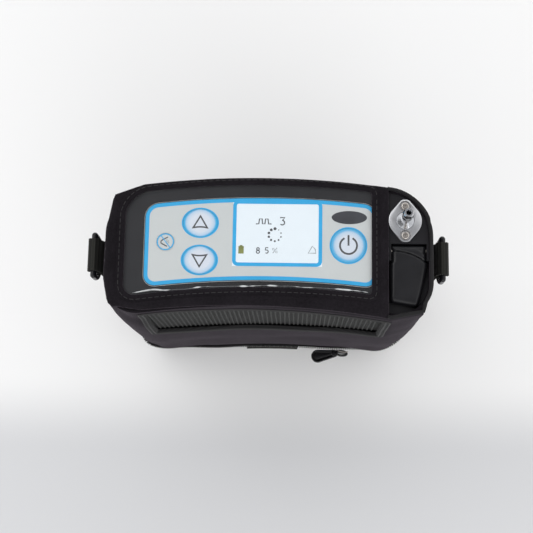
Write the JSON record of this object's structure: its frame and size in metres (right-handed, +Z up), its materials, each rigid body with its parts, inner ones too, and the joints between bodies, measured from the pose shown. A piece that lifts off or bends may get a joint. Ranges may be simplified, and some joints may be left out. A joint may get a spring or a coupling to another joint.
{
  "type": "portable oxygen concentrator",
  "caption": "Upright kidney-shaped breathing-gas unit in a soft zipped carry bag: keypad and display under a clear window, barbed outlet on a lift-out cartridge, strap rings at the sides.",
  "frame": {"origin": "on the surface it stands on, under the middle of the bag's width and depth", "axes": "+Z up, +X towards the end with the oxygen outlet, -Y towards the hollow front that faces the user's hip"},
  "size_m": [0.1948, 0.0822, 0.208],
  "materials": {
    "neoprene": "matt knitted face over foam",
    "neoprene_base": "matt knitted face over foam",
    "binding": "woven edge tape",
    "spacer_mesh": "ribbed knitted mesh",
    "webbing": "ribbed woven strap",
    "window_film": "clear soft film, glossy",
    "ring_black": "gloss black",
    "zip_black": "moulded, glossy",
    "casing_black": "fine spark texture",
    "overlay": "satin polyester film",
    "key_blue": "domed, satin",
    "key_white": "domed, satin",
    "lens": "clear, glossy",
    "display": "lit panel",
    "board_green": "solder mask",
    "component_black": "moulded",
    "handle_black": "fine spark texture",
    "plate_metal": "fine bead blast",
    "nozzle_metal": "turned and satin",
    "steel": "bright",
    "cast_alloy": "die cast",
    "tube_alloy": "drawn, anodised",
    "zeolite": "packed beads",
    "seal_rubber": "moulded",
    "mount_rubber": "moulded",
    "copper_winding": "enamelled wire",
    "manifold_plastic": "moulded",
    "tube_silicone": "clear silicone",
    "filter_foam": "open foam",
    "cell_wrap": "shrink wrap",
    "contact_brass": "plated",
    "latch_orange": "moulded"
  },
  "bodies": {
    "housing": {"bag_shell": "neoprene", "bag_top_frame": "neoprene", "bag_window": "window_film", "vent_mesh": "spacer_mesh", "vent_trim": "binding", "zip_chain": "zip_black", "side_webbing": "webbing", "top_cover": "casing_black", "front_shell": "casing_black", "rear_shell": "casing_black", "chassis": "component_black", "casing_screws": "steel", "membrane_overlay": "overlay", "lcd_lens": "lens", "lcd_module": "display", "control_board": "board_green", "alarm_buzzer": "component_black", "breath_sensor": "component_black", "main_board": "board_green", "dc_inlet": "component_black", "cartridge_seals": "seal_rubber", "compressor_housing": "cast_alloy", "compressor_mounts": "mount_rubber", "cylinder_heads": "cast_alloy", "pistons": "cast_alloy", "motor_stator": "copper_winding", "motor_bearings": "steel", "valve_manifold": "manifold_plastic", "solenoid_valves": "component_black", "product_tank": "tube_alloy", "air_tubes": "tube_silicone", "intake_filter": "filter_foam", "fan_frame": "component_black", "battery_case": "casing_black", "battery_lid": "casing_black", "battery_cells": "cell_wrap", "battery_contacts": "contact_brass"},
    "base_flap": {"base_flap": "neoprene_base", "base_pull_tab": "webbing"},
    "zip_slider": {"zip_slider": "zip_black"},
    "zip_puller": {"zip_puller": "zip_black"},
    "d_ring_left": {"d_ring_left": "ring_black"},
    "d_ring_right": {"d_ring_right": "ring_black"},
    "power_key": {"power_key": "key_white"},
    "up_key": {"up_key": "key_blue"},
    "down_key": {"down_key": "key_blue"},
    "mute_key": {"mute_key": "key_blue"},
    "cartridge": {"cartridge_body": "casing_black", "nozzle_plate": "plate_metal", "oxygen_nozzle": "nozzle_metal", "nozzle_screws": "steel", "handle_pin": "steel", "sieve_tubes": "tube_alloy", "sieve_material": "zeolite", "sieve_retainers": "steel"},
    "pull_handle": {"pull_handle": "handle_black"},
    "motor_rotor": {"motor_rotor": "steel"},
    "fan_rotor": {"fan_rotor": "component_black"},
    "battery_latch": {"battery_latch": "latch_orange"}
  },
  "joints": [
    {"name": "base_fold", "type": "hinge", "parent": "housing", "child": "base_flap", "pos_m": [0, 0.026, 0.00175], "axis": [1, 0, 0], "range_deg": [0, 95]},
    {"name": "zip_run", "type": "hinge", "parent": "housing", "child": "zip_slider", "pos_m": [0, -0.5115, 0.0245], "axis": [0, 0, 1], "range_deg": [-2, 12.4]},
    {"name": "puller_swing", "type": "hinge", "parent": "zip_slider", "child": "zip_puller", "pos_m": [0.04102, -0.03716, 0.0288], "axis": [0, 0, 1], "range_deg": [-8, 140]},
    {"name": "ring_left_swing", "type": "hinge", "parent": "housing", "child": "d_ring_left", "pos_m": [-0.094, -0.001, 0.172], "axis": [0, 1, 0], "range_deg": [-2, 150]},
    {"name": "ring_right_swing", "type": "hinge", "parent": "housing", "child": "d_ring_right", "pos_m": [0.094, -0.001, 0.172], "axis": [0, -1, 0], "range_deg": [-2, 150]},
    {"name": "power_key_press", "type": "slide", "parent": "housing", "child": "power_key", "axis": [0, 0, -1], "range_m": [0, 0.0007], "stiffness_N_per_m": 1000, "springref_m": -0.0006},
    {"name": "up_key_press", "type": "slide", "parent": "housing", "child": "up_key", "axis": [0, 0, -1], "range_m": [0, 0.0007], "stiffness_N_per_m": 1000, "springref_m": -0.0006},
    {"name": "down_key_press", "type": "slide", "parent": "housing", "child": "down_key", "axis": [0, 0, -1], "range_m": [0, 0.0007], "stiffness_N_per_m": 1000, "springref_m": -0.0006},
    {"name": "mute_key_press", "type": "slide", "parent": "housing", "child": "mute_key", "axis": [0, 0, -1], "range_m": [0, 0.0007], "stiffness_N_per_m": 1000, "springref_m": -0.0006},
    {"name": "cartridge_lift", "type": "slide", "parent": "housing", "child": "cartridge", "axis": [0, 0, 1], "range_m": [0, 0.14]},
    {"name": "handle_flip", "type": "hinge", "parent": "cartridge", "child": "pull_handle", "pos_m": [0.074, 0.0008, 0.1844], "axis": [-1, 0, 0], "range_deg": [0, 90]},
    {"name": "motor_spin", "type": "hinge", "parent": "housing", "child": "motor_rotor", "pos_m": [-0.037, 0.002, 0.08], "axis": [1, 0, 0], "continuous": true},
    {"name": "fan_spin", "type": "hinge", "parent": "housing", "child": "fan_rotor", "pos_m": [0.003, -0.02, 0.148], "axis": [0, 1, 0], "continuous": true},
    {"name": "latch_slide", "type": "slide", "parent": "housing", "child": "battery_latch", "axis": [0, 0, -1], "range_m": [0, 0.003], "stiffness_N_per_m": 400, "springref_m": -0.001}
  ]
}
